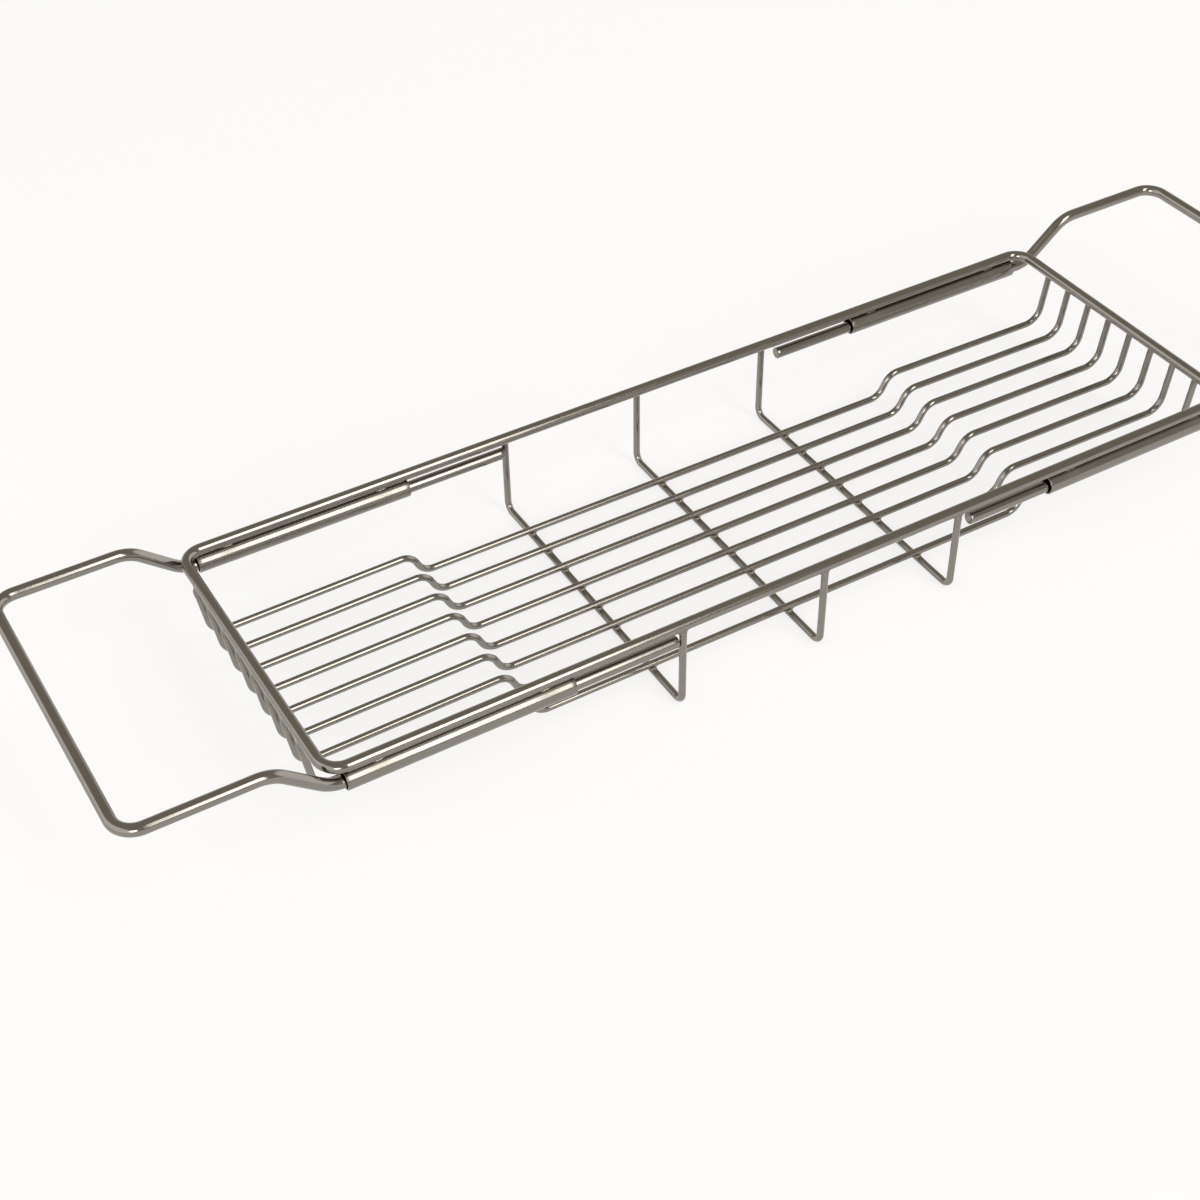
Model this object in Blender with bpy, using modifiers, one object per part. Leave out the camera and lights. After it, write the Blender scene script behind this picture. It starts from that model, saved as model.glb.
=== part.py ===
"""Extending wire bath caddy: a welded wire tray with two pull-out arms.

The tray lies along X and stands on its three cross wires at Z = 0, with the
middle of the tray over the origin. Under each long side of the rim two guide
tubes hold the legs of the arms. The left arm is pushed right in, and the right
arm is pulled out a little way.
"""
import math

import bpy
from mathutils import Vector

# Gap between pieces that touch or are welded
SEAT_GAP = 0.0003

# Rim of the tray, sizes between wire centre lines
RIM_GAUGE = 0.0055
RIM_LENGTH = 0.502
RIM_WIDTH = 0.163
RIM_CORNER_RADIUS = 0.010

# Floor wires, which run lengthways and dip in the middle of the tray
FLOOR_GAUGE = 0.0035
FLOOR_COUNT = 8
FLOOR_INSET = 0.0238
WELL_DEPTH = 0.0424
SHELF_DEPTH = 0.0298
SHELF_FALL = 0.0015
WELL_LENGTH = 0.2778
STEP_RUN = 0.0064
SHELF_END_INSET = 0.0022
SHELF_END_RADIUS = 0.0095
STEP_RADIUS = 0.009

# Cross wires, which hang from the rim and carry the floor wires
CROSS_GAUGE = 0.0035
CROSS_SPACING = 0.0775
CROSS_RADIUS = 0.005

# How far outside the rim's centre line the upright wire ends stand
UPRIGHT_OUTSET = 0.0019

# Guide tubes under the long sides of the rim
TUBE_OUTSIDE = 0.0095
TUBE_WALL = 0.0008
TUBE_LENGTH = 0.1105
TUBE_INSET = 0.007

# Arms, each one bent wire
ARM_GAUGE = 0.006
RISER_INSET = 0.00145
RISER_RUN = 0.0246
RISER_RISE = 0.0209
ARM_STRAIGHT = 0.065
RISER_RADIUS = 0.019
ARM_CORNER_RADIUS = 0.0105

# How far each arm is pulled out from its pushed-in place
LEFT_PULL = 0.0
RIGHT_PULL = 0.0062

# Facets of the round sections and of the bends
WIRE_RESOLUTION = 4
TURNED_STEPS = 16
BEND_STEP = math.radians(18)

# Finish of the steel
STEEL_COLOUR = (0.46, 0.43, 0.39, 1.0)
TUBE_COLOUR = (0.42, 0.39, 0.35, 1.0)
STEEL_ROUGHNESS = 0.18

LEFT = -1
RIGHT = 1
QUARTER_TURN = math.pi / 2

# Sides that a bevelled curve has at the wires' resolution
WIRE_SIDES = 4 + 2 * WIRE_RESOLUTION


def to_flat(gauge):
    """Distance from a wire's axis to the flats of its section."""
    return gauge / 2 * math.cos(math.pi / WIRE_SIDES)


# Heights of the axes above the floor
CROSS_FLAT = to_flat(CROSS_GAUGE)
FLOOR_FLAT = to_flat(FLOOR_GAUGE)
RIM_FLAT = to_flat(RIM_GAUGE)
CROSS_Z = CROSS_FLAT
FLOOR_Z = CROSS_Z + CROSS_FLAT + SEAT_GAP + FLOOR_FLAT
RIM_Z = FLOOR_Z + WELL_DEPTH
SHELF_Z = RIM_Z - SHELF_DEPTH
SHELF_END_Z = SHELF_Z - SHELF_FALL
UNDER_RIM_Z = RIM_Z - RIM_FLAT - SEAT_GAP
TUBE_Z = UNDER_RIM_Z - TUBE_OUTSIDE / 2
BORE_RADIUS = TUBE_OUTSIDE / 2 - TUBE_WALL
BORE_FLAT = BORE_RADIUS * math.cos(math.pi / TURNED_STEPS)
LEG_Z = TUBE_Z - (BORE_FLAT - ARM_GAUGE / 2 - SEAT_GAP)

# Places along the tray, where an inset is taken from the rim's end
SIDE_Y = RIM_WIDTH / 2
RIM_END_X = RIM_LENGTH / 2
SHELF_END_X = RIM_END_X - SHELF_END_INSET
STEP_FOOT_X = WELL_LENGTH / 2
STEP_TOP_X = STEP_FOOT_X + STEP_RUN
TUBE_MIDDLE_X = RIM_END_X - TUBE_INSET - TUBE_LENGTH / 2
LEG_END_X = CROSS_SPACING + CROSS_GAUGE / 2 + SEAT_GAP
RISER_FOOT_X = RIM_END_X - RISER_INSET
RISER_TOP_X = RISER_FOOT_X + RISER_RUN
END_BAR_X = RISER_TOP_X + ARM_STRAIGHT


def clear_scene():
    """Remove every object, so that the script can be run again."""
    for item in list(bpy.data.objects):
        bpy.data.objects.remove(item, do_unlink=True)


def make_material(name, colour, roughness):
    """Bright metal with the given colour and roughness."""
    material = bpy.data.materials.new(name)
    material.use_nodes = True
    shader = material.node_tree.nodes["Principled BSDF"]
    shader.inputs["Base Color"].default_value = colour
    shader.inputs["Metallic"].default_value = 1.0
    shader.inputs["Roughness"].default_value = roughness
    material.diffuse_color = colour
    return material


def rounded_path(corners, radii, closed=False):
    """Points of a path through the corners, with an arc in each bend."""
    places = [Vector(corner) for corner in corners]
    count = len(places)
    points = []
    for index, (place, radius) in enumerate(zip(places, radii)):
        if not closed and index in (0, count - 1):
            points.append(place)
            continue
        back = (places[index - 1] - place).normalized()
        ahead = (places[(index + 1) % count] - place).normalized()
        turn = math.pi - back.angle(ahead)
        reach = radius * math.tan(turn / 2)
        centre = place + (back + ahead).normalized() * radius / math.cos(turn / 2)
        start = place + back * reach - centre
        finish = place + ahead * reach - centre
        steps = max(2, math.ceil(turn / BEND_STEP))
        for step in range(steps + 1):
            angle = turn * step / steps
            first = math.sin(turn - angle) / math.sin(turn)
            second = math.sin(angle) / math.sin(turn)
            points.append(centre + start * first + finish * second)
    return points


def wire_curve(name, points, gauge, closed=False):
    """Curve with a round section whose flats face up, down and sideways."""
    curve = bpy.data.curves.new(name, "CURVE")
    curve.dimensions = "3D"
    curve.twist_mode = "Z_UP"
    curve.fill_mode = "FULL"
    curve.bevel_depth = gauge / 2
    curve.bevel_resolution = WIRE_RESOLUTION
    curve.use_fill_caps = True
    spline = curve.splines.new("POLY")
    spline.points.add(len(points) - 1)
    for knot, point in zip(spline.points, points):
        knot.co = (*point, 1.0)
        knot.tilt = math.pi / WIRE_SIDES
    spline.use_cyclic_u = closed
    return curve


def add_piece(collection, name, data, material, location, rotation=(0, 0, 0), parent=None):
    """Add one named piece with its own material."""
    piece = bpy.data.objects.new(name, data)
    collection.objects.link(piece)
    piece.location = location
    piece.rotation_euler = rotation
    piece.parent = parent
    if not data.materials:
        data.materials.append(None)
    slot = piece.material_slots[0]
    slot.link = "OBJECT"
    slot.material = material
    return piece


def turned_mesh(name, profile):
    """Mesh of a closed profile in the XZ plane, which a Screw modifier turns about Z."""
    mesh = bpy.data.meshes.new(name)
    count = len(profile)
    edges = [(index, (index + 1) % count) for index in range(count)]
    mesh.from_pydata([(radius, 0, height) for radius, height in profile], edges, [])
    return mesh


def add_turning(piece):
    """Turn a profile through a full circle."""
    screw = piece.modifiers.new("Turning", "SCREW")
    screw.axis = "Z"
    screw.angle = 2 * math.pi
    screw.steps = TURNED_STEPS
    screw.render_steps = TURNED_STEPS
    screw.use_merge_vertices = True
    screw.merge_threshold = 0.00001
    screw.use_smooth_shade = True


def build_rim(collection):
    """Closed rectangle of thick wire with rounded corners."""
    corners = [(-RIM_END_X, -SIDE_Y, 0), (RIM_END_X, -SIDE_Y, 0),
               (RIM_END_X, SIDE_Y, 0), (-RIM_END_X, SIDE_Y, 0)]
    points = rounded_path(corners, [RIM_CORNER_RADIUS] * len(corners), closed=True)
    curve = wire_curve("rim_wire", points, RIM_GAUGE, closed=True)
    steel = make_material("rim_frame", STEEL_COLOUR, STEEL_ROUGHNESS)
    add_piece(collection, "rim_frame", curve, steel, (0, 0, RIM_Z))


def floor_wire_points():
    """Half of a floor wire, from its upright end in, and its mirror image."""
    top_x = RIM_END_X + UPRIGHT_OUTSET
    lean = math.atan2(top_x - SHELF_END_X, UNDER_RIM_Z - SHELF_END_Z)
    top_z = UNDER_RIM_Z - FLOOR_GAUGE / 2 * math.sin(lean)
    shelf = [(SHELF_END_X, SHELF_END_Z), (STEP_TOP_X, SHELF_Z)]
    half = [(top_x, top_z)] + shelf + [(STEP_FOOT_X, FLOOR_Z)]
    radii = [0, SHELF_END_RADIUS, STEP_RADIUS, STEP_RADIUS]
    left = [(-x, z, 0) for x, z in half]
    right = [(x, z, 0) for x, z in reversed(half)]
    return rounded_path(left + right, radii + radii[::-1])


def build_floor_wires(collection):
    """Lengthways wires at an even pitch across the tray."""
    curve = wire_curve("floor_wire", floor_wire_points(), FLOOR_GAUGE)
    far_y = SIDE_Y - FLOOR_INSET
    pitch = 2 * far_y / (FLOOR_COUNT - 1)
    for index in range(FLOOR_COUNT):
        name = f"floor_wire_{index + 1}"
        steel = make_material(name, STEEL_COLOUR, STEEL_ROUGHNESS)
        place = (0, far_y - index * pitch, 0)
        add_piece(collection, name, curve, steel, place, (QUARTER_TURN, 0, 0))


def build_cross_wires(collection):
    """Three hanging wires, each a wide U under the rim."""
    reach = SIDE_Y + UPRIGHT_OUTSET
    corners = [(-reach, UNDER_RIM_Z, 0), (-reach, CROSS_Z, 0),
               (reach, CROSS_Z, 0), (reach, UNDER_RIM_Z, 0)]
    points = rounded_path(corners, [0, CROSS_RADIUS, CROSS_RADIUS, 0])
    curve = wire_curve("cross_wire", points, CROSS_GAUGE)
    for side, place in ((LEFT, "left"), (0, "middle"), (RIGHT, "right")):
        name = f"cross_wire_{place}"
        steel = make_material(name, STEEL_COLOUR, STEEL_ROUGHNESS)
        turn = (QUARTER_TURN, 0, QUARTER_TURN)
        add_piece(collection, name, curve, steel, (side * CROSS_SPACING, 0, 0), turn)


def build_guide_tubes(collection):
    """Four open tubes that guide the legs of the arms."""
    outer = TUBE_OUTSIDE / 2
    half = TUBE_LENGTH / 2
    profile = [(outer, half), (outer, -half), (BORE_RADIUS, -half), (BORE_RADIUS, half)]
    mesh = turned_mesh("guide_tube", profile)
    for side, end in ((LEFT, "left"), (RIGHT, "right")):
        for across, edge in ((1, "far"), (-1, "near")):
            name = f"guide_tube_{end}_{edge}"
            steel = make_material(name, TUBE_COLOUR, STEEL_ROUGHNESS)
            place = (side * TUBE_MIDDLE_X, across * SIDE_Y, TUBE_Z)
            add_turning(add_piece(collection, name, mesh, steel, place, (0, QUARTER_TURN, 0)))


def arm_points(side):
    """Path of an arm: leg, riser, straight and end bar, and back again."""
    half = [(LEG_END_X, 0), (RISER_FOOT_X, 0), (RISER_TOP_X, RISER_RISE), (END_BAR_X, RISER_RISE)]
    radii = [0, RISER_RADIUS, RISER_RADIUS, ARM_CORNER_RADIUS]
    near = [(side * x, -SIDE_Y, z) for x, z in half]
    far = [(side * x, SIDE_Y, z) for x, z in reversed(half)]
    return rounded_path(near + far, radii + radii[::-1])


def build_arm(collection, side, end, pull):
    """One pull-out arm, carried by an empty on its slide."""
    slide = bpy.data.objects.new(f"{end}_arm_slide", None)
    collection.objects.link(slide)
    slide.location = (side * pull, 0, LEG_Z)
    curve = wire_curve(f"{end}_arm", arm_points(side), ARM_GAUGE)
    steel = make_material(f"{end}_arm", STEEL_COLOUR, STEEL_ROUGHNESS)
    add_piece(collection, f"{end}_arm", curve, steel, (0, 0, 0), parent=slide)


def main():
    """Build the caddy."""
    clear_scene()
    collection = bpy.data.collections.new("bath_caddy")
    bpy.context.scene.collection.children.link(collection)
    build_rim(collection)
    build_floor_wires(collection)
    build_cross_wires(collection)
    build_guide_tubes(collection)
    build_arm(collection, LEFT, "left", LEFT_PULL)
    build_arm(collection, RIGHT, "right", RIGHT_PULL)


main()
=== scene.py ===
"""Looks of an extending wire bath caddy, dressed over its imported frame.

Every wire and tube of the frame is replaced by a round, smoothly bent piece of
the same size in the same place, and the welds between them are added.
All lengths are in metres. Angles that are given as arguments or kept as fields
are in degrees, and those worked out inside a function are in radians.
"""
from __future__ import annotations

import logging
import math
from dataclasses import dataclass
from enum import Enum
from typing import Sequence

import bpy
import numpy as np
from mathutils import Matrix, Vector


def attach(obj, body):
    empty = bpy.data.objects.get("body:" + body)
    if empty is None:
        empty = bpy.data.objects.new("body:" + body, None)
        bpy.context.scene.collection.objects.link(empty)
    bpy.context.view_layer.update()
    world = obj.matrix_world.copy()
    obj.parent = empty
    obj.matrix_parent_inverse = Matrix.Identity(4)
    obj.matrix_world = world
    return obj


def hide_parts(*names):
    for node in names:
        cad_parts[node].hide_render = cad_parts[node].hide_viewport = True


LOG = logging.getLogger("bath_caddy")
LAY_MAP = "lay"
HEAT_LAYER = "weld_heat"
X_AXIS, Y_AXIS, Z_AXIS = (1, 0, 0), (0, 1, 0), (0, 0, 1)

# Cut ends of a wire: the turns that round the edge, the size of the ring inside
# the flat, and the room to the next row, in roundings.
CUT_TURNS = (0.0, 30.0, 60.0, 90.0)
CUT_FACE_SHARE = 0.6
CUT_CLEARANCE = 1.5

# Rays of a weld: the steepest one, and how often its length is halved.
WELD_LIFT = 84.0
WELD_HALVINGS = 18

# Sockets of a colour Mix node, whose names are shared with its other types.
MIX_FIRST, MIX_SECOND, MIX_RESULT = 6, 7, 2

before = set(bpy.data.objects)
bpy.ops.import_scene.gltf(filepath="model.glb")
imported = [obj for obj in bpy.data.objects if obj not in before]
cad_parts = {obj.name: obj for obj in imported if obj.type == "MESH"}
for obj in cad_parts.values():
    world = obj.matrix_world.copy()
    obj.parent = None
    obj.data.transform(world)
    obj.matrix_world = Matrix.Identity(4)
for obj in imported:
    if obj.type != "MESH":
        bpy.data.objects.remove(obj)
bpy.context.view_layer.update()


class Ends(Enum):
    """How a grid of points is closed along its rows."""

    JOINED = "the last row meets the first"
    CLOSED = "a point closes the first row and another the last"


class Direction(Enum):
    """Named direction along an axis, 1 or -1."""

    @property
    def word(self) -> str:
        """The direction in piece names."""
        return self.name.lower()


class Side(Direction):
    """End of the tray that a piece belongs to, along X."""

    LEFT = -1
    RIGHT = 1


class Edge(Direction):
    """Long side of the tray that a piece belongs to, along Y."""

    FAR = 1
    NEAR = -1


# ---------------------------------------------------------------- surfaces


@dataclass(frozen=True)
class Surface:
    """Closed surface held as a grid of points.

    Rows run along the piece, and columns run round it and meet again.
    """

    points: np.ndarray
    along: np.ndarray
    ends: Ends = Ends.CLOSED

    def numbers(self, offset: int) -> tuple[np.ndarray, np.ndarray]:
        """Number of each point from the offset, and of the next one in its row."""
        rows, columns = self.points.shape[:2]
        index = offset + np.arange(rows * columns).reshape(rows, columns)
        return index, np.roll(index, -1, axis=1)

    def quads(self, offset: int) -> tuple[np.ndarray, np.ndarray]:
        """Faces between the rows, with a place on the lay map for each corner.

        Args:
            offset: Number of the grid's first point in the mesh.

        Returns:
            Four point numbers and four map places for each face.
        """
        index, beside = self.numbers(offset)
        rows, columns = index.shape
        last = rows if self.ends is Ends.JOINED else rows - 1
        after, after_beside = np.roll(index, -1, axis=0), np.roll(beside, -1, axis=0)
        faces = np.stack([index, beside, after_beside, after], axis=-1)[:last]
        along = np.append(self.along, self.along[-1] + self.along[1])
        left = np.arange(columns)[:, None] / columns
        places = np.empty((last, columns, 4, 2))
        places[..., :2, 0] = along[:last, None, None]
        places[..., 2:, 0] = along[1 : last + 1, None, None]
        places[..., ::3, 1] = left
        places[..., 1:3, 1] = left + 1 / columns
        return faces.reshape(-1, 4), places.reshape(-1, 2)

    def fans(self, offset: int) -> list[tuple[np.ndarray, np.ndarray]]:
        """Triangles that close the first and the last row, as quads() gives its faces.

        The two middle points are numbered next after the grid.
        """
        index, beside = self.numbers(offset)
        columns = index.shape[1]
        middle = np.full(columns, offset + index.size)
        left = np.arange(columns)[:, None] / columns
        fans = []
        for corners, along, shares in (
            ([middle, beside[0], index[0]], self.along[0], (0.5, 1, 0)),
            ([middle + 1, index[-1], beside[-1]], self.along[-1], (0.5, 0, 1)),
        ):
            places = np.full((columns, 3, 2), along)
            places[..., 1] = left + np.array(shares) / columns
            fans.append((np.stack(corners, -1), places.reshape(-1, 2)))
        return fans


@dataclass(frozen=True)
class Line:
    """Centre line of a wire: its points, and whether it meets itself."""

    points: np.ndarray
    closed: bool = False

    def lengths(self) -> np.ndarray:
        """Distance along the line from its start to each point."""
        steps = np.linalg.norm(np.diff(self.points, axis=0), axis=1)
        return np.concatenate([[0.0], np.cumsum(steps)])

    def directions(self) -> np.ndarray:
        """Unit direction at each point, the mean of the steps before and after it."""
        ahead = np.roll(self.points, -1, axis=0) - self.points
        if not self.closed:
            ahead[-1] = ahead[-2]
        ahead /= np.linalg.norm(ahead, axis=1, keepdims=True)
        back = np.roll(ahead, 1, axis=0)
        if not self.closed:
            back[0] = ahead[0]
        mean = ahead + back
        return mean / np.linalg.norm(mean, axis=1, keepdims=True)


def full_turn(columns: int) -> np.ndarray:
    """Evenly spaced angles round a circle."""
    return np.arange(columns) * 2 * np.pi / columns


def straight(start: np.ndarray, end: np.ndarray, spacing: float) -> np.ndarray:
    """Evenly spaced points from start up to, but without, end.

    Args:
        start: First point.
        end: Point that the run leads to.
        spacing: Longest distance between points.

    Returns:
        Points, one in each row.
    """
    count = max(1, math.ceil(float(np.linalg.norm(end - start)) / spacing))
    share = np.arange(count)[:, None] / count
    return start + (end - start) * share


def bent_line(
    corners: Sequence[Sequence[float]],
    radii: Sequence[float],
    closed: bool = False,
    spacing: float = 0.0025,
    turn_step: float = 5.0,
) -> Line:
    """Line through the corners, with an arc of the given radius in each bend.

    Each arc touches both of its straight runs. Its points are the arc's centre
    plus a spherical blend of the two touching radii, so they are evenly turned.

    Args:
        corners: Places where the straight runs would meet.
        radii: Radius of the bend at each corner, zero at the ends of an open line.
        closed: Whether the last corner leads back to the first.
        spacing: Longest distance between points on a straight run.
        turn_step: Largest turn between points in a bend, in degrees.

    Returns:
        The bent centre line.
    """
    places = np.asarray(corners, float)
    count = len(places)
    arcs: list[np.ndarray] = []
    for index in range(count):
        place = places[index]
        if not closed and index in (0, count - 1):
            arcs.append(place[None])
            continue
        back = places[index - 1] - place
        ahead = places[(index + 1) % count] - place
        back /= np.linalg.norm(back)
        ahead /= np.linalg.norm(ahead)
        turn = math.pi - math.acos(float(np.clip(back @ ahead, -1, 1)))
        reach = radii[index] * math.tan(turn / 2)
        middle = (back + ahead) / np.linalg.norm(back + ahead)
        centre = place + middle * radii[index] / math.cos(turn / 2)
        steps = max(3, math.ceil(math.degrees(turn) / turn_step))
        angle = np.linspace(0, turn, steps + 1)[:, None]
        first = np.sin(turn - angle) / math.sin(turn)
        second = np.sin(angle) / math.sin(turn)
        start = place + back * reach - centre
        finish = place + ahead * reach - centre
        arcs.append(centre + start * first + finish * second)
    parts: list[np.ndarray] = []
    for index, arc in enumerate(arcs):
        parts.append(arc[:-1])
        if closed or index < count - 1:
            parts.append(straight(arc[-1], arcs[(index + 1) % count][0], spacing))
    if not closed:
        parts.append(arcs[-1][-1:])
    return Line(np.concatenate([part for part in parts if len(part)]), closed)


def round_wire(
    line: Line,
    radius: float,
    upright: Sequence[float],
    columns: int = 24,
    edge: float = 0.0004,
) -> Surface:
    """Round wire along a line.

    Each row is a circle about a point of the line, in the plane across the
    line's direction: centre + radius * (cos a * first + sin a * second). An open
    wire has flat cut ends, whose edges are quarter circles: edge * (1 - cos b)
    along the wire and radius - edge * (1 - sin b) across it.

    Args:
        line: Centre line of the wire.
        radius: Radius of the wire.
        upright: Direction that the line never runs along, from which a row starts.
        columns: Points round the wire.
        edge: Radius of the rounding at the edge of each cut end.

    Returns:
        The wire's surface.
    """
    points = line.points
    directions = line.directions()
    along = line.lengths()
    size = np.full(len(points), radius)
    if not line.closed:
        turn = np.radians(CUT_TURNS)
        back = np.concatenate([[0.0], edge * (1 - np.cos(turn))])
        face = (radius - edge) * CUT_FACE_SHARE
        shrink = np.concatenate([[face], radius - edge * (1 - np.sin(turn))])
        rows = len(back)
        head = points[0] + directions[0] * back[:, None]
        tail = points[-1] - directions[-1] * back[::-1, None]
        total = along[-1]
        inner = (along > edge * CUT_CLEARANCE) & (along < total - edge * CUT_CLEARANCE)
        points = np.concatenate([head, points[inner], tail])
        size = np.concatenate([shrink, size[inner], shrink[::-1]])
        first, final = directions[:1].repeat(rows, 0), directions[-1:].repeat(rows, 0)
        directions = np.concatenate([first, directions[inner], final])
        along = np.concatenate([back, along[inner], total - back[::-1]])
    towards = np.asarray(upright, float)
    first = towards - directions * (directions @ towards)[:, None]
    first /= np.linalg.norm(first, axis=1, keepdims=True)
    second = np.cross(directions, first)
    angle = full_turn(columns)[None, :, None]
    circle = np.cos(angle) * first[:, None] + np.sin(angle) * second[:, None]
    grid = points[:, None] + circle * size[:, None, None]
    return Surface(grid, along, Ends.JOINED if line.closed else Ends.CLOSED)


def turned(
    profile: Sequence[tuple[float, float]],
    place: Sequence[float],
    forward: float,
    ends: Ends,
    columns: int = 40,
) -> Surface:
    """Profile turned about an axis along X.

    A profile point (distance, radius) becomes a circle of that radius at that
    distance from place, so row i is place + distance_i * X + radius_i * circle.

    Args:
        profile: Distances and radii, outer wall forwards and bore backwards.
        place: Point on the axis that distances are taken from.
        forward: 1 or -1, the axis's direction along X.
        ends: How the profile is closed.
        columns: Points round the axis.

    Returns:
        The turned surface.
    """
    shape = np.asarray(profile, float)
    angle = full_turn(columns)
    grid = np.empty((len(shape), columns, 3))
    grid[..., 0] = place[0] + forward * shape[:, :1]
    grid[..., 1] = place[1] + shape[:, 1:] * np.cos(angle)
    grid[..., 2] = place[2] + forward * shape[:, 1:] * np.sin(angle)
    steps = np.linalg.norm(np.diff(shape, axis=0), axis=1)
    return Surface(grid, np.concatenate([[0.0], np.cumsum(steps)]), ends)


def rounded_corner(
    centre: tuple[float, float],
    radius: float,
    start: float,
    steps: int = 4,
) -> list[tuple[float, float]]:
    """Quarter circle of a profile.

    Args:
        centre: Distance and radius of the rounding's centre.
        radius: Radius of the rounding.
        start: Angle at which it starts, from the axis towards the outside.
        steps: Number of straight steps.

    Returns:
        Profile points, turning 90 degrees back from the start.
    """
    angles = np.radians(start - np.linspace(0, 90, steps + 1))
    return [(centre[0] + radius * math.cos(a), centre[1] + radius * math.sin(a)) for a in angles]


@dataclass(frozen=True)
class Rod:
    """Round bar between two points, as a weld sees it."""

    start: tuple[float, float, float]
    end: tuple[float, float, float]
    radius: float

    def distance(self, points: np.ndarray) -> np.ndarray:
        """Distance from each point to the bar's surface, negative inside it."""
        start = np.asarray(self.start)
        run = np.asarray(self.end) - start
        share = np.clip(((points - start) @ run) / (run @ run), 0, 1)
        return np.linalg.norm(points - start - share[..., None] * run, axis=-1) - self.radius


def weld_fillet(
    centre: Sequence[float],
    first: Rod,
    second: Rod,
    flow: float,
    reach: Sequence[float],
    rows: int = 15,
    columns: int = 28,
) -> Surface:
    """Metal that has flowed into the corners between two bars.

    The surface is where a smooth union of both bars is zero: the lesser of the
    two distances, less flow / 4 * (1 - difference / flow) squared where they
    differ by less than flow. It is found along rays from the centre by halving,
    and rays that stay inside a bar stop at an ellipsoid of the given reach.

    Args:
        centre: Middle of the weld, between the bars.
        first: One bar.
        second: The other bar.
        flow: Width over which the metal flows.
        reach: Half-axes of the ellipsoid that bounds the weld.
        rows: Rows of rays from bottom to top.
        columns: Rays in each row.

    Returns:
        The weld's surface.
    """
    lift = np.radians(np.linspace(-WELD_LIFT, WELD_LIFT, rows))[:, None]
    turn = full_turn(columns)[None]
    flat = np.cos(lift)
    steep = np.repeat(np.sin(lift), columns, axis=1)
    rays = np.stack([flat * np.cos(turn), flat * np.sin(turn), steep], axis=-1)
    rays *= np.asarray(reach)
    low = np.zeros(rays.shape[:2])
    high = np.ones(rays.shape[:2])
    middle = np.asarray(centre, float)
    for _ in range(WELD_HALVINGS):
        share = (low + high) / 2
        points = middle + rays * share[..., None]
        one, other = first.distance(points), second.distance(points)
        blend = np.clip(1 - np.abs(one - other) / flow, 0, None)
        inside = np.minimum(one, other) - flow / 4 * blend**2 < 0
        low = np.where(inside, share, low)
        high = np.where(inside, high, share)
    grid = middle + rays * ((low + high) / 2)[..., None]
    return Surface(grid, np.linspace(0, reach[2] * 2, rows), Ends.CLOSED)


def surface_mesh(
    name: str,
    surfaces: Sequence[Surface],
    welds: np.ndarray,
    heat_width: float = 0.0035,
) -> bpy.types.Mesh:
    """Mesh of one or more closed surfaces, with its lay map and weld heat.

    The lay map runs along the piece in metres and once round it from 0 to 1.
    Weld heat at a point is exp(-(distance to the nearest weld / width) squared).

    Args:
        name: Name of the mesh.
        surfaces: Closed surfaces, which become one mesh.
        welds: Middles of the welds on the piece, one in each row.
        heat_width: Distance over which a weld's heat shows.

    Returns:
        The mesh, smooth shaded.
    """
    points: list[np.ndarray] = []
    faces: list[list[int]] = []
    maps: list[np.ndarray] = []
    for surface in surfaces:
        offset = sum(len(group) for group in points)
        points.append(surface.points.reshape(-1, 3))
        parts = [surface.quads(offset)]
        if surface.ends is Ends.CLOSED:
            points.append(surface.points[[0, -1]].mean(axis=1))
            parts += surface.fans(offset)
        for corners, lays in parts:
            faces += corners.tolist()
            maps.append(lays)
    places = np.concatenate(points)
    mesh = bpy.data.meshes.new(name)
    mesh.from_pydata(places.tolist(), [], faces)
    layer = mesh.uv_layers.new(name=LAY_MAP)
    layer.data.foreach_set("uv", np.concatenate(maps).astype(np.float32).ravel())
    heat = np.zeros(len(places))
    if len(welds):
        gaps = np.linalg.norm(places[:, None] - welds[None], axis=-1).min(axis=1)
        heat = np.exp(-((gaps / heat_width) ** 2))
    store = mesh.attributes.new(HEAT_LAYER, "FLOAT", "POINT")
    store.data.foreach_set("value", heat.astype(np.float32))
    mesh.polygons.foreach_set("use_smooth", np.ones(len(mesh.polygons), bool))
    mesh.update()
    return mesh


# ---------------------------------------------------------------- finishes


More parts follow.
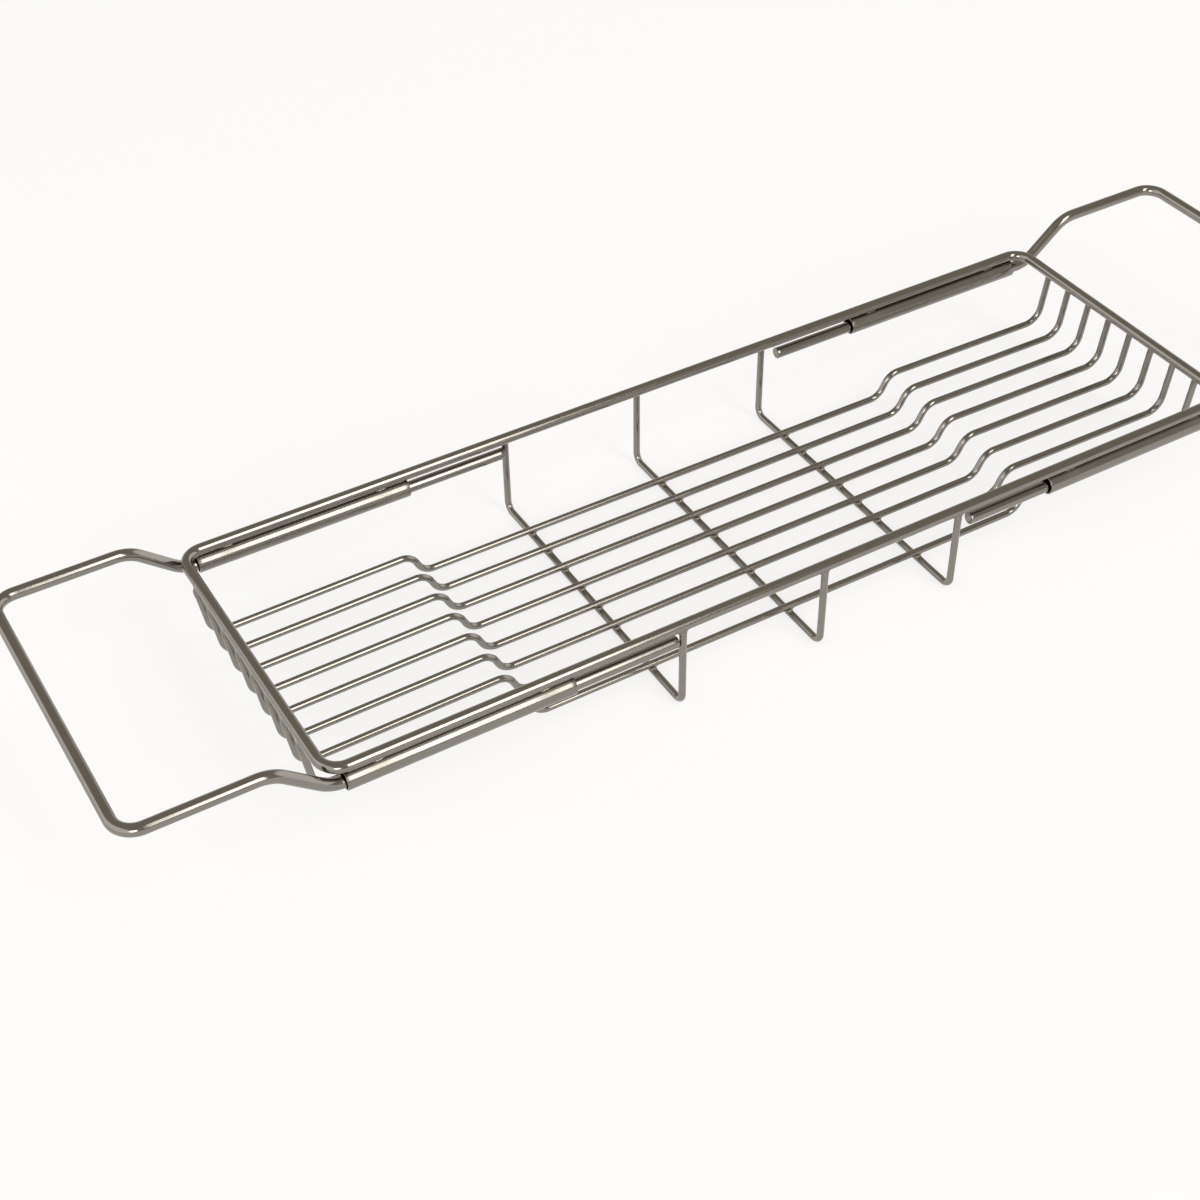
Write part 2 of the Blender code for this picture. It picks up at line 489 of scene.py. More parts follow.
class NodeBoard:
    """Places and links the nodes of one node tree."""

    def __init__(self, tree: bpy.types.NodeTree) -> None:
        """Keep the tree that nodes are placed in."""
        self.tree = tree

    def add(self, kind: str, **settings: object) -> bpy.types.Node:
        """Add a node and set its plain properties.

        Args:
            kind: Node type.
            **settings: Properties of the node, by name.

        Returns:
            The node.
        """
        node = self.tree.nodes.new(kind)
        for key, value in settings.items():
            setattr(node, key, value)
        return node

    def feed(self, socket: bpy.types.NodeSocket, value: object) -> None:
        """Link an output to a socket, or set the socket to a plain value."""
        if isinstance(value, bpy.types.NodeSocket):
            self.tree.links.new(value, socket)
        else:
            socket.default_value = value

    def math(self, operation: str, *values: object, clamp: bool = False) -> bpy.types.NodeSocket:
        """Result of a Math node on up to three values or outputs."""
        node = self.add("ShaderNodeMath", operation=operation, use_clamp=clamp)
        for socket, value in zip(node.inputs, values):
            self.feed(socket, value)
        return node.outputs[0]

    def spread(
        self,
        value: object,
        source: tuple[float, float],
        start: float = 0.0,
        end: float = 1.0,
    ) -> bpy.types.NodeSocket:
        """Value taken from the source range into start to end, smoothly."""
        node = self.add("ShaderNodeMapRange", interpolation_type="SMOOTHSTEP")
        self.feed(node.inputs["Value"], value)
        node.inputs["From Min"].default_value, node.inputs["From Max"].default_value = source
        node.inputs["To Min"].default_value = start
        node.inputs["To Max"].default_value = end
        return node.outputs[0]

    def noise(
        self,
        place: object,
        scale: object,
        detail: float,
        roughness: float = 0.5,
    ) -> bpy.types.NodeSocket:
        """Noise from 0 to 1 at a place."""
        node = self.add("ShaderNodeTexNoise")
        self.feed(node.inputs["Vector"], place)
        self.feed(node.inputs["Scale"], scale)
        node.inputs["Detail"].default_value = detail
        node.inputs["Roughness"].default_value = roughness
        return node.outputs[0]

    def blend(
        self,
        share: object,
        first: object,
        second: object,
        kind: str = "MIX",
    ) -> bpy.types.NodeSocket:
        """Colour between two colours or outputs, with a share of the second."""
        node = self.add("ShaderNodeMix", data_type="RGBA", blend_type=kind)
        self.feed(node.inputs["Factor"], share)
        self.feed(node.inputs[MIX_FIRST], first)
        self.feed(node.inputs[MIX_SECOND], second)
        return node.outputs[MIX_RESULT]

    def group(self, tree: bpy.types.NodeTree, **inputs: object) -> object:
        """Outputs of a node group that is given values or outputs by name."""
        node = self.add("ShaderNodeGroup", node_tree=tree)
        for name, value in inputs.items():
            self.feed(node.inputs[name], value)
        return node.outputs


def start_group(
    name: str,
    inputs: dict[str, float | None],
    outputs: Sequence[str],
) -> tuple[NodeBoard, object, object]:
    """Empty shader node group with named sockets.

    Args:
        name: Name of the group.
        inputs: Starting value of each input by name, or None for a vector.
        outputs: Names of the outputs, which are values.

    Returns:
        The group's board, the sockets that it is given and those of its results.
    """
    tree = bpy.data.node_groups.new(name, "ShaderNodeTree")
    for label, value in inputs.items():
        kind = "NodeSocketVector" if value is None else "NodeSocketFloat"
        socket = tree.interface.new_socket(label, in_out="INPUT", socket_type=kind)
        if value is not None:
            socket.default_value = value
    for label in outputs:
        tree.interface.new_socket(label, in_out="OUTPUT", socket_type="NodeSocketFloat")
    board = NodeBoard(tree)
    return board, board.add("NodeGroupInput").outputs, board.add("NodeGroupOutput").inputs


def drawn_lines_group() -> bpy.types.NodeTree:
    """Fine lines that drawing through a die leaves along a wire.

    The lay map is wrapped on a circle, so that the lines meet where the map
    does: noise at (cos 2 pi v, sin 2 pi v) * Fineness and u * Length.
    """
    worn_between = (0.55, 0.75)
    board, given, result = start_group(
        "drawn_lines", {"Lay": None, "Fineness": 7.0, "Length": 25.0}, ("Height", "Wear")
    )
    parts = board.add("ShaderNodeSeparateXYZ")
    board.feed(parts.inputs[0], given["Lay"])
    turn = board.math("MULTIPLY", parts.outputs["Y"], 2 * math.pi)
    wrapped = board.add("ShaderNodeCombineXYZ")
    for axis, share, size in (
        ("X", board.math("COSINE", turn), "Fineness"),
        ("Y", board.math("SINE", turn), "Fineness"),
        ("Z", parts.outputs["X"], "Length"),
    ):
        board.feed(wrapped.inputs[axis], board.math("MULTIPLY", share, given[size]))
    lines = board.noise(wrapped.outputs[0], scale=1.0, detail=3.0, roughness=0.6)
    board.feed(result["Height"], lines)
    board.feed(result["Wear"], board.spread(lines, worn_between))
    return board.tree


def slight_waves_group() -> bpy.types.NodeTree:
    """Slow unevenness of a straightened and plated wire, which bends its highlights."""
    patch_between = (0.42, 0.72)
    board, given, result = start_group(
        "slight_waves", {"Place": None, "Waves": 38.0}, ("Height", "Patches")
    )
    waves = board.noise(given["Place"], scale=given["Waves"], detail=1.0)
    patches = board.noise(given["Place"], scale=90.0, detail=2.0)
    board.feed(result["Height"], waves)
    board.feed(result["Patches"], board.spread(patches, patch_between))
    return board.tree


def weld_tint_group() -> bpy.types.NodeTree:
    """Where a weld's heat has dulled and browned the steel, broken up by noise."""
    broken_between, least_tint, dull_power = (0.3, 0.7), 0.55, 0.7
    board, given, result = start_group("weld_tint", {"Heat": 0.0, "Place": None}, ("Tint", "Dull"))
    cloud = board.noise(given["Place"], scale=420.0, detail=3.0)
    breaks = board.spread(cloud, broken_between, start=least_tint)
    tint = board.math("MULTIPLY", given["Heat"], breaks, clamp=True)
    board.feed(result["Tint"], tint)
    board.feed(result["Dull"], board.math("POWER", tint, dull_power, clamp=True))
    return board.tree


@dataclass(frozen=True)
class SteelFinish:
    """Bright steel surface and how its details show."""

    name: str
    colour: tuple[float, float, float] = (0.264, 0.248, 0.222)
    heat_colour: tuple[float, float, float] = (0.198, 0.169, 0.133)
    heat_share: float = 0.7
    patch_shade: tuple[float, float, float] = (0.93, 0.92, 0.9)
    patch_share: float = 0.5
    roughness: float = 0.13
    wear_roughness: float = 0.05
    heat_roughness: float = 0.14
    line_depth: float = 0.0000025
    fineness: float = 7.0
    wave_depth: float = 0.00012
    waves: float = 38.0

    def material(self, groups: FinishShop) -> bpy.types.Material:
        """Build the procedural material of this finish.

        Args:
            groups: Shared node groups.

        Returns:
            The material.
        """
        material = bpy.data.materials.new(self.name)
        material.use_nodes = True
        tree = material.node_tree
        shader = tree.nodes["Principled BSDF"]
        board = NodeBoard(tree)
        lay = board.add("ShaderNodeUVMap", uv_map=LAY_MAP).outputs[0]
        place = board.add("ShaderNodeTexCoord").outputs["Object"]
        heat = board.add("ShaderNodeAttribute", attribute_name=HEAT_LAYER).outputs["Fac"]
        lines = board.group(groups.drawn_lines, Lay=lay, Fineness=self.fineness)
        waves = board.group(groups.slight_waves, Place=place, Waves=self.waves)
        tint = board.group(groups.weld_tint, Heat=heat, Place=place)

        heated = board.math("MULTIPLY", tint["Tint"], self.heat_share)
        colour = board.blend(heated, (*self.colour, 1.0), (*self.heat_colour, 1.0))
        patched = board.math("MULTIPLY", waves["Patches"], self.patch_share)
        colour = board.blend(patched, colour, (*self.patch_shade, 1.0), "MULTIPLY")
        board.feed(shader.inputs["Base Color"], colour)

        worn = board.math("MULTIPLY", lines["Wear"], self.wear_roughness)
        dulled = board.math("MULTIPLY", tint["Dull"], self.heat_roughness)
        rough = board.math("ADD", board.math("ADD", worn, dulled), self.roughness)
        board.feed(shader.inputs["Roughness"], rough)
        shader.inputs["Metallic"].default_value = 1.0

        fine = board.math("MULTIPLY", lines["Height"], self.line_depth)
        slow = board.math("MULTIPLY", waves["Height"], self.wave_depth)
        bump = board.add("ShaderNodeBump")
        bump.inputs["Distance"].default_value = 1.0
        bump.inputs["Strength"].default_value = 1.0
        board.feed(bump.inputs["Height"], board.math("ADD", fine, slow))
        board.feed(shader.inputs["Normal"], bump.outputs[0])
        material.diffuse_color = (*self.colour, 1.0)
        return material


class FinishShop:
    """Builds the shared node groups once and keeps each finish's material."""

    def __init__(self) -> None:
        """Build the node groups that the finishes share."""
        self.drawn_lines = drawn_lines_group()
        self.slight_waves = slight_waves_group()
        self.weld_tint = weld_tint_group()
        self.made: dict[str, bpy.types.Material] = {}

    def get(self, finish: SteelFinish) -> bpy.types.Material:
        """Material of a finish, built the first time it is asked for."""
        if finish.name not in self.made:
            self.made[finish.name] = finish.material(self)
        return self.made[finish.name]


RIM_STEEL = SteelFinish("bright_rim_wire")
THIN_STEEL = SteelFinish("bright_thin_wire", roughness=0.17)
ARM_STEEL = SteelFinish("bright_arm_wire", waves=26.0, wave_depth=0.0002, fineness=9.0)
TUBE_STEEL = SteelFinish(
    "drawn_guide_tube",
    colour=(0.257, 0.241, 0.215),
    roughness=0.19,
    fineness=14.0,
    waves=30.0,
    wave_depth=0.0002,
)
WELD_STEEL = SteelFinish(
    "weld_metal",
    colour=(0.251, 0.232, 0.206),
    roughness=0.2,
    waves=700.0,
    wave_depth=0.00003,
)


# ---------------------------------------------------------------- the caddy


@dataclass(frozen=True)
class Bench:
    """Puts finished pieces in the scene, with their materials and frame names."""

    shop: FinishShop

    def lay_out(
        self,
        mesh: bpy.types.Mesh,
        finish: SteelFinish,
        body: str,
        stands_for: str | None = None,
    ) -> None:
        """Add one finished piece to the scene and report it.

        Args:
            mesh: The piece's mesh, with its place in its points.
            finish: Its finish.
            body: Body that it moves with.
            stands_for: Node of the frame that it replaces, if any.
        """
        piece = bpy.data.objects.new(mesh.name, mesh)
        bpy.context.scene.collection.objects.link(piece)
        mesh.materials.append(self.shop.get(finish))
        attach(piece, body)
        if stands_for:
            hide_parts(stands_for)
        LOG.info("%s: %d faces on %s", piece.name, len(mesh.polygons), body)


@dataclass
class WireTray:
    """Rim, floor wires and cross wires of the tray, and the welds that join them.

    weld_bite is how far an upright's end reaches into the rim, weld_sink how far
    a weld's bars lie inside its wires, and weld_run the half length of a bar.
    upright_lean is how far a floor wire's upright leans in over weld_run, and
    upright_drop how far a weld's upright ends under the real one.
    """

    seat_gap: float = 0.0003
    section_sides: int = 12
    rim_gauge: float = 0.0055
    rim_length: float = 0.502
    rim_width: float = 0.163
    rim_corner_radius: float = 0.010
    floor_gauge: float = 0.0035
    floor_count: int = 8
    floor_inset: float = 0.0238
    well_depth: float = 0.0424
    shelf_depth: float = 0.0298
    shelf_fall: float = 0.0015
    well_length: float = 0.2778
    step_run: float = 0.0064
    shelf_end_inset: float = 0.0022
    shelf_end_radius: float = 0.0095
    step_radius: float = 0.009
    cross_gauge: float = 0.0035
    cross_spacing: float = 0.0775
    cross_radius: float = 0.005
    upright_outset: float = 0.0019
    upright_lean: float = 0.0028
    upright_drop: float = 0.0012
    weld_bite: float = 0.0009
    weld_flow: float = 0.0021
    weld_sink: float = 0.00003
    weld_run: float = 0.02
    crossing_reach: tuple[float, float, float] = (0.0045, 0.0045, 0.0042)
    rim_reach: tuple[float, float, float] = (0.0046, 0.0046, 0.0042)
    rim_heat_width: float = 0.0028

    def to_flat(self, gauge: float) -> float:
        """Distance from a frame wire's axis to the flats of its section."""
        return gauge / 2 * math.cos(math.pi / self.section_sides)

    @property
    def side_y(self) -> float:
        """Distance of the long sides from the middle."""
        return self.rim_width / 2

    @property
    def end_x(self) -> float:
        """Distance of the short sides from the middle."""
        return self.rim_length / 2

    @property
    def cross_z(self) -> float:
        """Height of the cross wires' axis."""
        return self.to_flat(self.cross_gauge)

    @property
    def floor_z(self) -> float:
        """Height of the floor wires' axis in the deep middle."""
        top = self.cross_z + self.to_flat(self.cross_gauge)
        return top + self.seat_gap + self.to_flat(self.floor_gauge)

    @property
    def crossing_z(self) -> float:
        """Height of the welds between the cross wires and the floor wires."""
        return (self.cross_z + self.floor_z) / 2

    @property
    def rim_z(self) -> float:
        """Height of the rim's axis."""
        return self.floor_z + self.well_depth

    @property
    def under_rim_z(self) -> float:
        """Height at which a piece under the rim ends."""
        return self.rim_z - self.to_flat(self.rim_gauge) - self.seat_gap

    @property
    def floor_places(self) -> np.ndarray:
        """Place of each floor wire across the tray, from the far side."""
        reach = self.side_y - self.floor_inset
        return np.linspace(reach, -reach, self.floor_count)

    @property
    def cross_places(self) -> list[tuple[str, float]]:
        """Name and place along the tray of each cross wire."""
        return [("left", -self.cross_spacing), ("middle", 0.0), ("right", self.cross_spacing)]

    def rim_line(self) -> Line:
        """Rounded rectangle of the rim."""
        x, y, z = self.end_x, self.side_y, self.rim_z
        corners = [(-x, -y, z), (x, -y, z), (x, y, z), (-x, y, z)]
        return bent_line(corners, [self.rim_corner_radius] * 4, closed=True)

    def floor_line(self, y: float) -> Line:
        """Floor wire across the tray at y, from one short side to the other."""
        top_x = self.end_x + self.upright_outset
        shelf_z = self.rim_z - self.shelf_depth
        shelf_x = self.end_x - self.shelf_end_inset
        foot_x = self.well_length / 2
        half = [
            (top_x, self.under_rim_z + self.weld_bite),
            (shelf_x, shelf_z - self.shelf_fall),
            (foot_x + self.step_run, shelf_z),
            (foot_x, self.floor_z),
        ]
        radii = [0, self.shelf_end_radius, self.step_radius, self.step_radius]
        left = [(-x, y, z) for x, z in half]
        right = [(x, y, z) for x, z in reversed(half)]
        return bent_line(left + right, radii + radii[::-1])

    def cross_line(self, x: float) -> Line:
        """Cross wire at x, a wide U under the rim."""
        reach = self.side_y + self.upright_outset
        top, low = self.under_rim_z + self.weld_bite, self.cross_z
        corners = [(x, -reach, top), (x, -reach, low), (x, reach, low), (x, reach, top)]
        return bent_line(corners, [0, self.cross_radius, self.cross_radius, 0])

    def crossings(self) -> list[tuple[float, float]]:
        """Places where a floor wire lies on a cross wire."""
        return [(x, float(y)) for _, x in self.cross_places for y in self.floor_places]

    def end_joints(self, side: Side) -> list[tuple[float, float]]:
        """Places where the floor wires' uprights meet one short side of the rim."""
        return [(side.value * self.end_x, float(y)) for y in self.floor_places]

    def side_joints(self, edge: Edge) -> list[tuple[float, float]]:
        """Places where the cross wires' uprights meet one long side of the rim."""
        return [(x, edge.value * self.side_y) for _, x in self.cross_places]

    def crossing_weld(self, x: float, y: float) -> Surface:
        """Weld where the floor wire at y lies on the cross wire at x."""
        run, low, high = self.weld_run, self.cross_z, self.floor_z
        floor = Rod((x - run, y, high), (x + run, y, high), self.floor_gauge / 2 - self.weld_sink)
        cross = Rod((x, y - run, low), (x, y + run, low), self.cross_gauge / 2 - self.weld_sink)
        middle = (x, y, self.crossing_z)
        return weld_fillet(middle, floor, cross, self.weld_flow, self.crossing_reach)

    def rim_weld(self, x: float, y: float, at_end: bool) -> Surface:
        """Weld where an upright meets the rim at x, y, on a short or a long side."""
        run, high = self.weld_run, self.rim_z
        low = self.under_rim_z - run
        end = self.under_rim_z + self.weld_bite - self.upright_drop
        if at_end:
            out = x + math.copysign(self.upright_outset, x)
            bar = (x, y - run, high), (x, y + run, high)
            foot, top = (out - math.copysign(self.upright_lean, x), y, low), (out, y, end)
        else:
            out = y + math.copysign(self.upright_outset, y)
            bar = (x - run, y, high), (x + run, y, high)
            foot, top = (x, out, low), (x, out, end)
        rim = Rod(*bar, self.rim_gauge / 2 - self.weld_sink)
        upright = Rod(foot, top, self.floor_gauge / 2 - self.weld_sink)
        middle = ((x + top[0]) / 2, (y + top[1]) / 2, self.under_rim_z)
        return weld_fillet(middle, rim, upright, self.weld_flow, self.rim_reach)

    def build(self, bench: Bench) -> None:
        """Build and lay out the tray's wires and welds.

        Args:
            bench: Where the pieces go.
        """
        crossings = np.array([(x, y, self.crossing_z) for x, y in self.crossings()])
        places = [place for side in Side for place in self.end_joints(side)]
        places += [place for edge in Edge for place in self.side_joints(edge)]
        joints = np.array([(x, y, self.under_rim_z) for x, y in places])
        heated = np.concatenate([crossings, joints])
        body, slot = "tray", "steel_wire"

        rim = round_wire(self.rim_line(), self.rim_gauge / 2, Z_AXIS, columns=32)
        mesh = surface_mesh("rim_steel", [rim], joints, self.rim_heat_width)
        bench.lay_out(mesh, RIM_STEEL, body, "rim_frame")
        for number, y in enumerate(self.floor_places, 1):
            wire = round_wire(self.floor_line(float(y)), self.floor_gauge / 2, Y_AXIS)
            near = heated[np.isclose(heated[:, 1], y)]
            mesh = surface_mesh(f"floor_steel_{number}", [wire], near)
            bench.lay_out(mesh, THIN_STEEL, body, f"floor_wire_{number}")
        for word, x in self.cross_places:
            wire = round_wire(self.cross_line(x), self.cross_gauge / 2, X_AXIS)
            near = heated[np.isclose(heated[:, 0], x)]
            mesh = surface_mesh(f"cross_steel_{word}", [wire], near)
            bench.lay_out(mesh, THIN_STEEL, body, f"cross_wire_{word}")
            welds = [self.crossing_weld(x, float(y)) for y in self.floor_places]
            mesh = surface_mesh(f"crossing_welds_{word}", welds, crossings)
            bench.lay_out(mesh, WELD_STEEL, body)
        for side in Side:
            welds = [self.rim_weld(x, y, at_end=True) for x, y in self.end_joints(side)]
            mesh = surface_mesh(f"end_welds_{side.word}", welds, joints)
            bench.lay_out(mesh, WELD_STEEL, body)
        for edge in Edge:
            welds = [self.rim_weld(x, y, at_end=False) for x, y in self.side_joints(edge)]
            mesh = surface_mesh(f"side_welds_{edge.word}", welds, joints)
            bench.lay_out(mesh, WELD_STEEL, body)


@dataclass
class GuideTubes:
    """Four open tubes under the rim's long sides, and the seams that hold them.

    The seams' insets are taken from the tube's two ends, seam_sink is how far a
    weld's bars lie inside the rim and the tube, and seam_reach is half the width
    and half the height of a seam.
    """

    tray: WireTray
    outside: float = 0.0095
    wall: float = 0.0008
    length: float = 0.1105
    end_inset: float = 0.007
    lip: float = 0.00012
    rings: int = 46
    seam_inner_inset: float = 0.014
    seam_outer_inset: float = 0.016
    seam_length: float = 0.007
    seam_flow: float = 0.0013
    seam_sink: float = 0.0001
    seam_reach: tuple[float, float] = (0.0026, 0.0016)
    heat_width: float = 0.005

    @property
    def axis_z(self) -> float:
        """Height of the tubes' axis."""
        return self.tray.under_rim_z - self.outside / 2

    @property
    def outer_x(self) -> float:
        """Distance of a tube's outer end from the middle of the tray."""
        return self.tray.end_x - self.end_inset

    @property
    def inner_x(self) -> float:
        """Distance of a tube's inner end from the middle of the tray."""
        return self.outer_x - self.length

    def seam_places(self) -> list[float]:
        """Distance from the middle of the tray of each seam on a tube."""
        return [self.inner_x + self.seam_inner_inset, self.outer_x - self.seam_outer_inset]

    def profile(self) -> list[tuple[float, float]]:
        """Wall of the tube with rounded lips, forwards outside and back in the bore."""
        lip, end = self.lip, self.length - self.lip
        outer, bore = self.outside / 2, self.outside / 2 - self.wall
        inner = bore + lip
        shell = outer - lip
        run = np.linspace(lip, end, self.rings)
        front = rounded_corner((end, shell), lip, 90) + rounded_corner((end, inner), lip, 0)
        back = rounded_corner((lip, inner), lip, -90) + rounded_corner((lip, shell), lip, 180)
        outside = [(float(x), outer) for x in run[1:-1]]
        inside = [(float(x), bore) for x in run[::-1][1:-1]]
        return outside + front + inside + back

    def build(self, bench: Bench) -> None:
        """Build and lay out the tubes and their seams.

        Args:
            bench: Where the pieces go.
        """
        body, slot = "tray", "guide_tube"
        for side in Side:
            for edge in Edge:
                word = f"{side.word}_{edge.word}"
                y = edge.value * self.tray.side_y
                places = [side.value * x for x in self.seam_places()]
                seams = np.array([(x, y, self.tray.under_rim_z) for x in places])
                start = (side.value * self.inner_x, y, self.axis_z)
                tube = turned(self.profile(), start, side.value, Ends.JOINED)
                mesh = surface_mesh(f"tube_steel_{word}", [tube], seams, self.heat_width)
                bench.lay_out(mesh, TUBE_STEEL, body, f"guide_tube_{word}")
                welds = [self.seam(x, y) for x in places]
                mesh = surface_mesh(f"tube_seams_{word}", welds, seams)
                bench.lay_out(mesh, WELD_STEEL, body)

    def seam(self, x: float, y: float) -> Surface:
        """Short run of weld between the rim and the tube at x, y."""
        half, sink = self.seam_length / 2, self.seam_sink
        high, low = self.tray.rim_z, self.axis_z
        rim = Rod((x - half, y, high), (x + half, y, high), self.tray.rim_gauge / 2 - sink)
        tube = Rod((x - half, y, low), (x + half, y, low), self.outside / 2 - sink)
        middle = (x, y, self.tray.under_rim_z + sink)
        return weld_fillet(middle, rim, tube, self.seam_flow, (half, *self.seam_reach))


@dataclass
class PullOutArm:
    """One bent wire arm, whose legs run in the guide tubes.

    pull is how far the arm is stored pulled out.
    """

    tray: WireTray
    tubes: GuideTubes
    side: Side
    pull: float = 0.0
    gauge: float = 0.006
    riser_inset: float = 0.00145
    riser_run: float = 0.0246
    riser_rise: float = 0.0209
    arm_straight: float = 0.065
    riser_radius: float = 0.019
    corner_radius: float = 0.0105
    bore_sides: int = 16

    @property
    def leg_z(self) -> float:
        """Height of the legs, which run low in the tubes' bores."""
        bore = (self.tubes.outside / 2 - self.tubes.wall) * math.cos(math.pi / self.bore_sides)
        return self.tubes.axis_z - (bore - self.gauge / 2 - self.tray.seat_gap)

    @property
    def leg_end_x(self) -> float:
        """Distance of the legs' cut ends from the middle when pushed in."""
        return self.tray.cross_spacing + self.tray.cross_gauge / 2 + self.tray.seat_gap

    def line(self) -> Line:
        """Leg, riser, straight and end bar, and back again on the far side."""
        foot = self.tray.end_x - self.riser_inset
        top = foot + self.riser_run
        low, high = self.leg_z, self.leg_z + self.riser_rise
        half = [(self.leg_end_x, low), (foot, low), (top, high), (top + self.arm_straight, high)]
        radii = [0, self.riser_radius, self.riser_radius, self.corner_radius]
        sign, y = self.side.value, self.tray.side_y
        near = [(sign * (x + self.pull), -y, z) for x, z in half]
        far = [(sign * (x + self.pull), y, z) for x, z in reversed(half)]
        return bent_line(near + far, radii + radii[::-1])

    def build(self, bench: Bench) -> None:
        """Build and lay out the arm.

        Args:
            bench: Where the piece goes.
        """
        word = self.side.word
        wire = round_wire(self.line(), self.gauge / 2, Z_AXIS, columns=36)
        unwelded = np.empty((0, 3))
        mesh = surface_mesh(f"arm_steel_{word}", [wire], unwelded)
        bench.lay_out(mesh, ARM_STEEL, f"{word}_slider", f"{word}_arm")


# ---------------------------------------------------------------- the studio


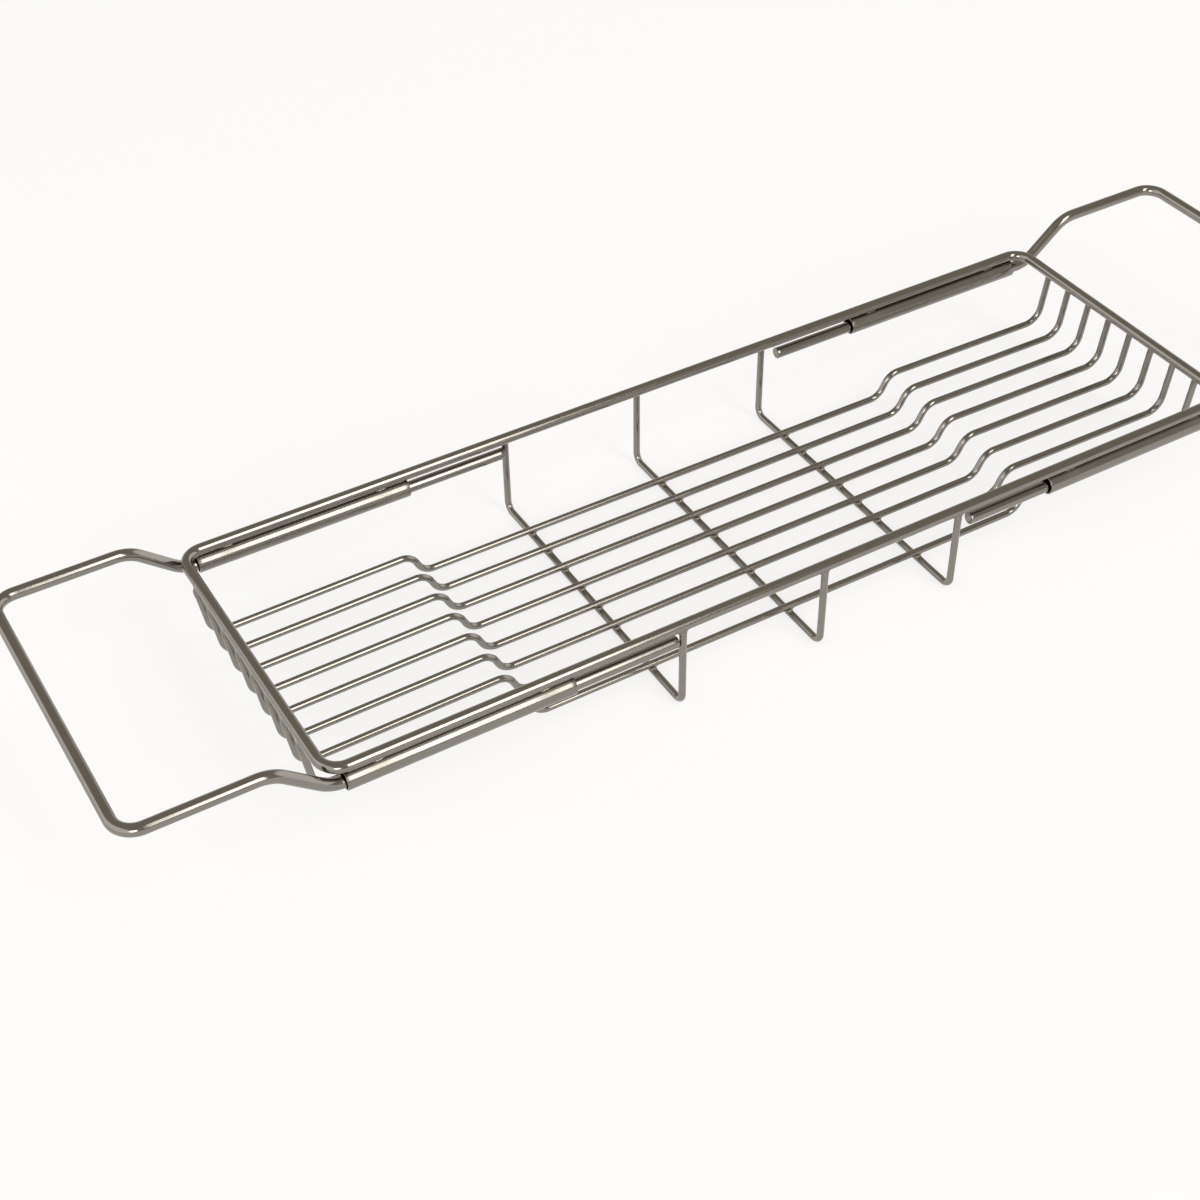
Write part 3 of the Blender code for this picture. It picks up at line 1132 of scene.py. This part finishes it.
@dataclass
class Studio:
    """Pale floor, a softbox and a lamp in a dim room, and the camera.

    The skyline, the walls' places and their fades are parts of a unit direction
    from the object: Z for the skyline and X for the walls.
    """

    azimuth: float = 29.921
    elevation: float = 41.755
    roll: float = -1.08
    camera_place: tuple[float, float, float] = (-0.4331, -0.62729, 0.6449)
    lens: float = 59.321
    sensor: float = 36.0
    clip: tuple[float, float] = (0.01, 50.0)
    floor_size: float = 9.0
    floor_drop: float = 0.0001
    floor_colour: tuple[float, float, float] = (0.95, 0.95, 0.95)
    floor_roughness: float = 0.9
    floor_glow: float = 0.75
    room: tuple[float, float, float] = (0.44, 0.408, 0.356)
    skyline: float = 1.0
    skyline_fade: tuple[float, float] = (0.1, 0.22)
    side_wall: float = 1.35
    left_wall_fade: tuple[float, float] = (-0.62, -0.5)
    right_wall_fade: tuple[float, float] = (0.7, 0.8)
    lamp_place: tuple[float, float, float] = (-1.59, -2.25, 1.2)
    lamp_width: float = 1.1
    lamp_level: float = 7.0
    softbox_level: float = 5.0
    softbox_side: float = 1.0
    softbox_distance: float = 4.5
    softbox_elevation: float = 43.0
    softbox_width: float = 1.38
    softbox_height: float = 3.6
    softbox_roll: float = -12.0

    def build(self) -> None:
        """Set the floor, the lights and the camera."""
        self.set_floor()
        self.set_room()
        self.set_lights()
        self.set_camera()

    def set_floor(self) -> None:
        """Large pale floor that keeps the object's shadow."""
        half, low = self.floor_size / 2, -self.floor_drop
        places = [(-half, -half, low), (half, -half, low), (half, half, low), (-half, half, low)]
        mesh = bpy.data.meshes.new("floor")
        mesh.from_pydata(places, [], [[0, 1, 2, 3]])
        floor = bpy.data.objects.new("floor", mesh)
        bpy.context.scene.collection.objects.link(floor)
        material = bpy.data.materials.new("pale_floor")
        material.use_nodes = True
        tree = material.node_tree
        board = NodeBoard(tree)
        shader = tree.nodes["Principled BSDF"]
        shader.inputs["Base Color"].default_value = (*self.floor_colour, 1.0)
        shader.inputs["Roughness"].default_value = self.floor_roughness
        shader.inputs["Specular IOR Level"].default_value = 0.0
        rays = board.add("ShaderNodeLightPath").outputs
        seen = board.math("MAXIMUM", rays["Is Camera Ray"], rays["Is Glossy Ray"])
        seen = board.math("MAXIMUM", seen, rays["Is Transmission Ray"])
        paper = board.add("ShaderNodeEmission")
        paper.inputs["Strength"].default_value = 1.0
        mix = board.add("ShaderNodeMixShader")
        board.feed(mix.inputs[0], board.math("MULTIPLY", seen, self.floor_glow))
        board.feed(mix.inputs[1], shader.outputs[0])
        board.feed(mix.inputs[2], paper.outputs[0])
        board.feed(tree.nodes["Material Output"].inputs["Surface"], mix.outputs[0])
        mesh.materials.append(material)

    def set_room(self) -> None:
        """Dim room with a pale skyline and white walls at both ends of the tray."""
        world = bpy.data.worlds.new("studio_room")
        bpy.context.scene.world = world
        world.use_nodes = True
        tree = world.node_tree
        board = NodeBoard(tree)
        parts = board.add("ShaderNodeSeparateXYZ")
        board.feed(parts.inputs[0], board.add("ShaderNodeTexCoord").outputs["Generated"])
        low = board.spread(parts.outputs["Z"], self.skyline_fade, start=1.0, end=0.0)
        colour = board.blend(low, (*self.room, 1.0), (*[self.skyline] * 3, 1.0))
        left = board.spread(parts.outputs["X"], self.left_wall_fade, start=1.0, end=0.0)
        right = board.spread(parts.outputs["X"], self.right_wall_fade)
        walls = board.math("MAXIMUM", left, right)
        colour = board.blend(walls, colour, (*[self.side_wall] * 3, 1.0))
        board.feed(tree.nodes["Background"].inputs["Color"], colour)

    def hang_light(
        self,
        name: str,
        place: Vector,
        size: tuple[float, float],
        level: float,
        roll: float = 0.0,
    ) -> None:
        """Hang a flat light that faces the middle of the tray.

        The light's power is level * width * height * pi, so that its face has
        the given radiance, and a round one has pi / 4 of that.

        Args:
            name: Name of the light.
            place: Its middle.
            size: Its width and height; a light of equal sides is round.
            level: Radiance of its face, where 1 is white.
            roll: Turn about its own axis, in degrees.
        """
        lamp = bpy.data.lights.new(name, "AREA")
        width, height = size
        is_round = width == height
        lamp.shape = "DISK" if is_round else "RECTANGLE"
        lamp.size = width
        if not is_round:
            lamp.size_y = height
        lamp.energy = level * width * height * math.pi * (math.pi / 4 if is_round else 1.0)
        light = bpy.data.objects.new(name, lamp)
        bpy.context.scene.collection.objects.link(light)
        aim = (-place).to_track_quat("-Z", "Y").to_matrix().to_4x4()
        spin = Matrix.Rotation(math.radians(roll), 4, "Z")
        light.matrix_world = Matrix.Translation(place) @ aim @ spin
        light.visible_camera = False

    def set_lights(self) -> None:
        """Tall softbox in front of the tray to its right, and a small lamp to its left."""
        lift = math.radians(self.softbox_elevation)
        back = self.softbox_distance * math.cos(lift)
        place = Vector((self.softbox_side, -back, self.softbox_distance * math.sin(lift)))
        size = (self.softbox_width, self.softbox_height)
        self.hang_light("softbox", place, size, self.softbox_level, self.softbox_roll)
        size = (self.lamp_width, self.lamp_width)
        self.hang_light("lamp", Vector(self.lamp_place), size, self.lamp_level)

    def set_camera(self) -> None:
        """Camera at the place and angle that the photograph was taken from."""
        azimuth, elevation, roll = np.radians((self.azimuth, self.elevation, self.roll))
        flat = math.cos(elevation)
        forward = np.array(
            [math.sin(azimuth) * flat, math.cos(azimuth) * flat, -math.sin(elevation)]
        )
        level = np.array([math.cos(azimuth), -math.sin(azimuth), 0.0])
        above = np.cross(level, forward)
        right = math.cos(roll) * level + math.sin(roll) * above
        upward = np.cross(right, forward)
        data = bpy.data.cameras.new("camera")
        data.sensor_width = self.sensor
        data.lens = self.lens
        data.clip_start, data.clip_end = self.clip
        camera = bpy.data.objects.new("camera", data)
        bpy.context.scene.collection.objects.link(camera)
        pose = np.eye(4)
        pose[:3] = np.column_stack([right, upward, -forward, self.camera_place])
        camera.matrix_world = Matrix(pose.tolist())
        bpy.context.scene.camera = camera


def main() -> None:
    """Build the caddy and the studio round it."""
    logging.basicConfig(level=logging.INFO, format="%(name)s: %(message)s")
    bpy.context.scene.view_settings.view_transform = "Standard"
    bench = Bench(FinishShop())
    tray = WireTray()
    tubes = GuideTubes(tray)
    tray.build(bench)
    tubes.build(bench)
    PullOutArm(tray, tubes, Side.LEFT).build(bench)
    PullOutArm(tray, tubes, Side.RIGHT, pull=0.0062).build(bench)
    Studio().build()


if __name__ == "__main__":
    main()
